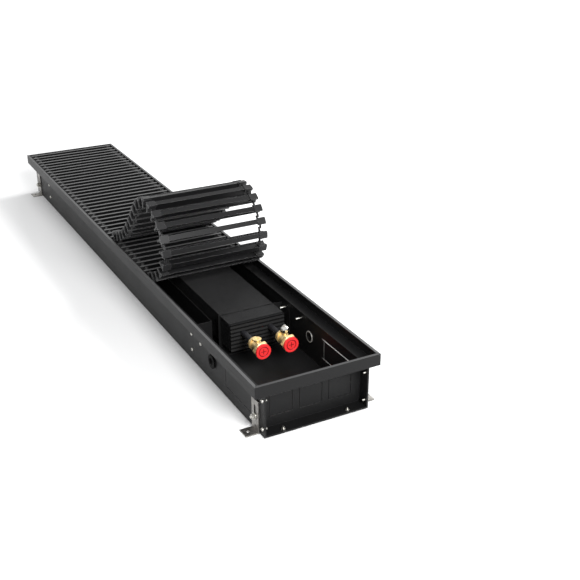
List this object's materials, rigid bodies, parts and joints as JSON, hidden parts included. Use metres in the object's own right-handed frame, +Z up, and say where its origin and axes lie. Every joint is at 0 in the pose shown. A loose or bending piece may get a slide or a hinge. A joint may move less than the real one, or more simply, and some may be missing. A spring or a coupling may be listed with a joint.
{
  "type": "trench convector heater",
  "caption": "Floor trench convector heater: painted trench, finned heat exchanger with pipe connections, and a roll-up grille of hinged bars folded back from its near end.",
  "frame": {"origin": "on the floor, under the middle of the rim", "axes": "+X across the trench to the side of the heat exchanger, +Y along it and away from the pipe connections, +Z up"},
  "size_m": [0.2636, 1.47, 0.2783],
  "materials": {
    "sheet_paint": "satin dark powder coat",
    "frame_coat": "satin dark coat on an extrusion",
    "bar_coat": "satin anodised grey",
    "clip_plastic": "matte",
    "fin_coat": "matte dark coat",
    "pipe_coat": "satin dark coat",
    "brass": "satin",
    "nickel": "satin nickel",
    "zinc": "satin zinc",
    "cap_plastic": "gloss",
    "rubber": "matte"
  },
  "bodies": {
    "casing": {"trench": "sheet_paint", "end_panel_near": "sheet_paint", "end_panel_far": "sheet_paint", "rail_left": "frame_coat", "rail_right": "frame_coat", "apron_near": "frame_coat", "apron_far": "frame_coat", "panel_screws": "zinc", "panel_studs": "zinc", "fins": "fin_coat", "end_fins": "fin_coat", "pipe_supply": "pipe_coat", "pipe_return": "pipe_coat", "return_bend": "pipe_coat", "support_near": "sheet_paint", "support_far": "sheet_paint", "wall_screws": "zinc", "air_guide": "sheet_paint", "valve_supply": "brass", "valve_return": "brass", "union_nut_supply": "brass", "union_nut_return": "brass", "drain_plug": "brass", "air_vent": "nickel", "grommet": "rubber", "gland_ring": "nickel", "foot_bolts": "zinc", "foot_washers": "zinc", "foot_nuts": "zinc"},
    "vent_screw": {"vent_screw": "nickel"},
    "cap_supply": {"cap_supply": "cap_plastic"},
    "cap_return": {"cap_return": "cap_plastic"},
    "foot_near_left": {"foot_near_left": "zinc"},
    "foot_near_right": {"foot_near_right": "zinc"},
    "foot_far_left": {"foot_far_left": "zinc"},
    "foot_far_right": {"foot_far_right": "zinc"},
    "grille": {"flat_bars": "bar_coat", "flat_clips": "clip_plastic"},
    "bar_01": {"bar_01": "bar_coat"},
    "bar_02": {"bar_02": "bar_coat"},
    "bar_03": {"bar_03": "bar_coat"},
    "bar_04": {"bar_04": "bar_coat"},
    "bar_05": {"bar_05": "bar_coat"},
    "bar_06": {"bar_06": "bar_coat"},
    "bar_07": {"bar_07": "bar_coat"},
    "bar_08": {"bar_08": "bar_coat"},
    "bar_09": {"bar_09": "bar_coat"},
    "bar_10": {"bar_10": "bar_coat"},
    "bar_11": {"bar_11": "bar_coat"},
    "bar_12": {"bar_12": "bar_coat"},
    "bar_13": {"bar_13": "bar_coat"},
    "bar_14": {"bar_14": "bar_coat"},
    "bar_15": {"bar_15": "bar_coat"},
    "bar_16": {"bar_16": "bar_coat"},
    "bar_17": {"bar_17": "bar_coat"},
    "bar_18": {"bar_18": "bar_coat"},
    "bar_19": {"bar_19": "bar_coat"},
    "bar_20": {"bar_20": "bar_coat"},
    "bar_21": {"bar_21": "bar_coat"},
    "bar_22": {"bar_22": "bar_coat"}
  },
  "joints": [
    {"name": "foot_near_left_slide", "type": "slide", "parent": "casing", "child": "foot_near_left", "axis": [0, 0, 1], "range_m": [-0.02, 0]},
    {"name": "foot_near_right_slide", "type": "slide", "parent": "casing", "child": "foot_near_right", "axis": [0, 0, 1], "range_m": [-0.02, 0]},
    {"name": "foot_far_left_slide", "type": "slide", "parent": "casing", "child": "foot_far_left", "axis": [0, 0, 1], "range_m": [-0.02, 0]},
    {"name": "foot_far_right_slide", "type": "slide", "parent": "casing", "child": "foot_far_right", "axis": [0, 0, 1], "range_m": [-0.02, 0]},
    {"name": "cap_supply_pull", "type": "slide", "parent": "casing", "child": "cap_supply", "axis": [0, -1, 0], "range_m": [0, 0.06]},
    {"name": "cap_return_pull", "type": "slide", "parent": "casing", "child": "cap_return", "axis": [0, -1, 0], "range_m": [0, 0.06]},
    {"name": "vent_screw_turn", "type": "hinge", "parent": "casing", "child": "vent_screw", "pos_m": [0.0525, -0.50618, 0.072], "axis": [0, 0, 1], "range_deg": [0, 180]},
    {"name": "grille_lift", "type": "slide", "parent": "casing", "child": "grille", "axis": [0, 0, 1], "range_m": [0, 0.04]},
    {"name": "bar_01_fold", "type": "hinge", "parent": "grille", "child": "bar_01", "pos_m": [0, -0.204, 0.1078], "axis": [1, 0, 0], "range_deg": [0, 18.22]},
    {"name": "bar_02_fold", "type": "hinge", "parent": "bar_01", "child": "bar_02", "pos_m": [0, -0.2268, 0.11531], "axis": [1, 0, 0], "range_deg": [0, 6.07]},
    {"name": "bar_03_fold", "type": "hinge", "parent": "bar_02", "child": "bar_03", "pos_m": [0, -0.24867, 0.12518], "axis": [1, 0, 0], "range_deg": [0, 6.07]},
    {"name": "bar_04_fold", "type": "hinge", "parent": "bar_03", "child": "bar_04", "pos_m": [0, -0.26938, 0.13731], "axis": [1, 0, 0], "range_deg": [0, 15.19]},
    {"name": "bar_05_fold", "type": "hinge", "parent": "bar_04", "child": "bar_05", "pos_m": [0, -0.28618, 0.15445], "axis": [1, 0, 0], "range_deg": [0, 24.3]},
    {"name": "bar_06_fold", "type": "hinge", "parent": "bar_05", "child": "bar_06", "pos_m": [0, -0.29445, 0.17698], "axis": [1, 0, 0], "range_deg": [0, 25.31]},
    {"name": "bar_07_fold", "type": "hinge", "parent": "bar_06", "child": "bar_07", "pos_m": [0, -0.29229, 0.20088], "axis": [1, 0, 0], "range_deg": [0, 21.26]},
    {"name": "bar_08_fold", "type": "hinge", "parent": "bar_07", "child": "bar_08", "pos_m": [0, -0.28161, 0.22238], "axis": [1, 0, 0], "range_deg": [0, 15.19]},
    {"name": "bar_09_fold", "type": "hinge", "parent": "bar_08", "child": "bar_09", "pos_m": [0, -0.26567, 0.24032], "axis": [1, 0, 0], "range_deg": [0, 14.17]},
    {"name": "bar_10_fold", "type": "hinge", "parent": "bar_09", "child": "bar_10", "pos_m": [0, -0.24582, 0.25382], "axis": [1, 0, 0], "range_deg": [0, 17.21]},
    {"name": "bar_11_fold", "type": "hinge", "parent": "bar_10", "child": "bar_11", "pos_m": [0, -0.22287, 0.26084], "axis": [1, 0, 0], "range_deg": [0, 21.26]},
    {"name": "bar_12_fold", "type": "hinge", "parent": "bar_11", "child": "bar_12", "pos_m": [0, -0.19894, 0.25906], "axis": [1, 0, 0], "range_deg": [0, 21.26]},
    {"name": "bar_13_fold", "type": "hinge", "parent": "bar_12", "child": "bar_13", "pos_m": [0, -0.17728, 0.24872], "axis": [1, 0, 0], "range_deg": [0, 15.19]},
    {"name": "bar_14_fold", "type": "hinge", "parent": "bar_13", "child": "bar_14", "pos_m": [0, -0.15909, 0.23307], "axis": [1, 0, 0], "range_deg": [0, 7.09]},
    {"name": "bar_15_fold", "type": "hinge", "parent": "bar_14", "child": "bar_15", "pos_m": [0, -0.14296, 0.2153], "axis": [1, 0, 0], "range_deg": [0, 2.02]},
    {"name": "bar_16_fold", "type": "hinge", "parent": "bar_15", "child": "bar_16", "pos_m": [0, -0.12747, 0.19696], "axis": [1, 0, 0], "range_deg": [-2.02, 0]},
    {"name": "bar_17_fold", "type": "hinge", "parent": "bar_16", "child": "bar_17", "pos_m": [0, -0.11135, 0.17919], "axis": [1, 0, 0], "range_deg": [-3.04, 0]},
    {"name": "bar_18_fold", "type": "hinge", "parent": "bar_17", "child": "bar_18", "pos_m": [0, -0.0943, 0.16229], "axis": [1, 0, 0], "range_deg": [-5.06, 0]},
    {"name": "bar_19_fold", "type": "hinge", "parent": "bar_18", "child": "bar_19", "pos_m": [0, -0.07583, 0.14697], "axis": [1, 0, 0], "range_deg": [-7.09, 0]},
    {"name": "bar_20_fold", "type": "hinge", "parent": "bar_19", "child": "bar_20", "pos_m": [0, -0.05561, 0.13404], "axis": [1, 0, 0], "range_deg": [-7.09, 0]},
    {"name": "bar_21_fold", "type": "hinge", "parent": "bar_20", "child": "bar_21", "pos_m": [0, -0.03395, 0.1237], "axis": [1, 0, 0], "range_deg": [-6.07, 0]},
    {"name": "bar_22_fold", "type": "hinge", "parent": "bar_21", "child": "bar_22", "pos_m": [0, -0.01132, 0.11571], "axis": [1, 0, 0], "range_deg": [-7.09, 0]}
  ],
  "couplings": [
    {"joint": "bar_11_fold", "follows": "bar_12_fold", "ratio": 1},
    {"joint": "bar_13_fold", "follows": "bar_12_fold", "ratio": 0.71429},
    {"joint": "bar_14_fold", "follows": "bar_12_fold", "ratio": 0.33333},
    {"joint": "bar_15_fold", "follows": "bar_12_fold", "ratio": 0.095238},
    {"joint": "bar_16_fold", "follows": "bar_12_fold", "ratio": -0.095238},
    {"joint": "bar_17_fold", "follows": "bar_12_fold", "ratio": -0.14286},
    {"joint": "bar_18_fold", "follows": "bar_12_fold", "ratio": -0.2381},
    {"joint": "bar_19_fold", "follows": "bar_12_fold", "ratio": -0.33333},
    {"joint": "bar_20_fold", "follows": "bar_12_fold", "ratio": -0.33333},
    {"joint": "bar_21_fold", "follows": "bar_12_fold", "ratio": -0.28571},
    {"joint": "bar_22_fold", "follows": "bar_12_fold", "ratio": -0.33333}
  ]
}
